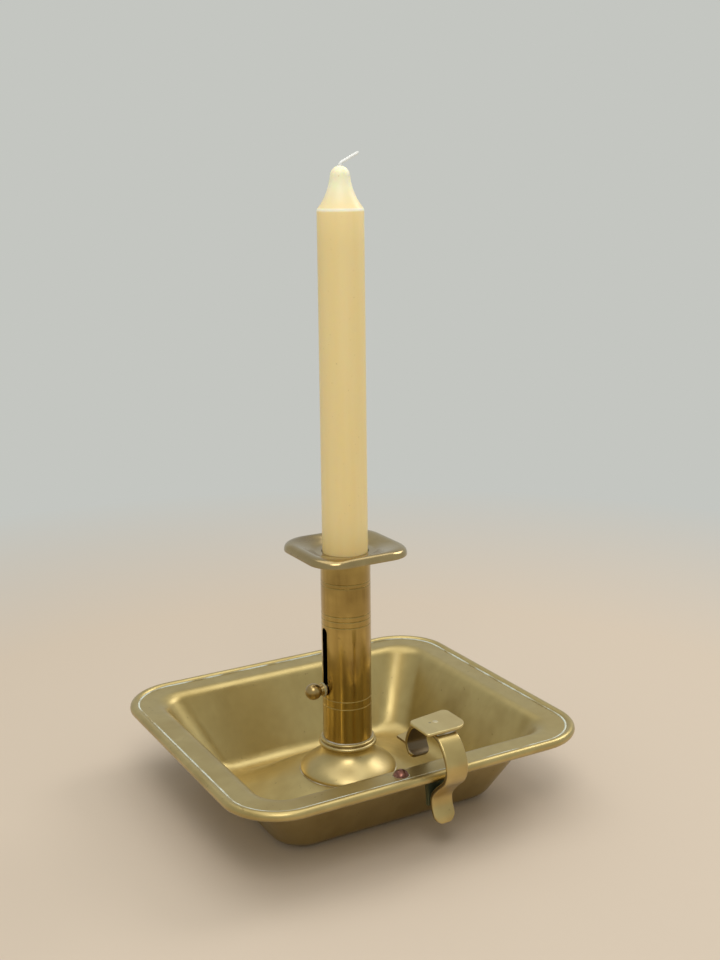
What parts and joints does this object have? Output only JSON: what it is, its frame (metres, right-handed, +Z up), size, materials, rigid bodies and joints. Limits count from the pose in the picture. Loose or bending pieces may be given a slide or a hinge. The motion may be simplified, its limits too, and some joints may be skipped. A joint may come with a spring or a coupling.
{
  "type": "candlestick",
  "caption": "Brass chamberstick: deep rectangular tray with rolled rim, slotted stem with a push-up ejector, square drip pan, finger-ring handle and a dinner candle.",
  "frame": {"origin": "on the table, under the middle of the whole outline with the handle included", "axes": "+Z up along the stem, X along the tray's long side, handle on the -Y side, ejector knob on the -X side"},
  "size_m": [0.1828, 0.1718, 0.3083],
  "materials": {
    "brass": "old polished brass with brown tarnish and fine scratches",
    "dark_brass": "unpolished brass, dark with tarnish and some verdigris",
    "copper": "darkened copper",
    "iron": "plain dark iron",
    "wax": "pale yellow wax with a soft sheen",
    "cotton": "unburnt braided cotton"
  },
  "bodies": {
    "root": {"tray": "brass", "rim_wire": "iron", "stem_foot": "brass", "stem_tube": "brass", "stem_plug": "brass", "tie_screw": "iron", "tie_washer": "iron", "drip_pan": "brass", "handle_strip": "brass", "scroll_spur": "brass", "thumb_plate": "brass", "plate_rivet": "brass", "handle_bracket": "dark_brass", "bracket_rivet_left": "copper", "bracket_rivet_right": "copper", "rivet_rove_left": "copper", "rivet_rove_right": "copper"},
    "ejector": {"ejector_disc": "dark_brass", "ejector_spring": "dark_brass", "spring_screw": "iron", "knob_shank": "iron", "knob_collar": "brass", "ejector_knob": "brass"},
    "candle": {"candle": "wax", "wick": "cotton"}
  },
  "joints": [
    {"name": "ejector_slide", "type": "slide", "parent": "root", "child": "ejector", "axis": [0, 0, 1], "range_m": [0, 0.029]},
    {"name": "candle_lift", "type": "slide", "parent": "ejector", "child": "candle", "axis": [0, 0, 1], "range_m": [0, 0.075]}
  ]
}
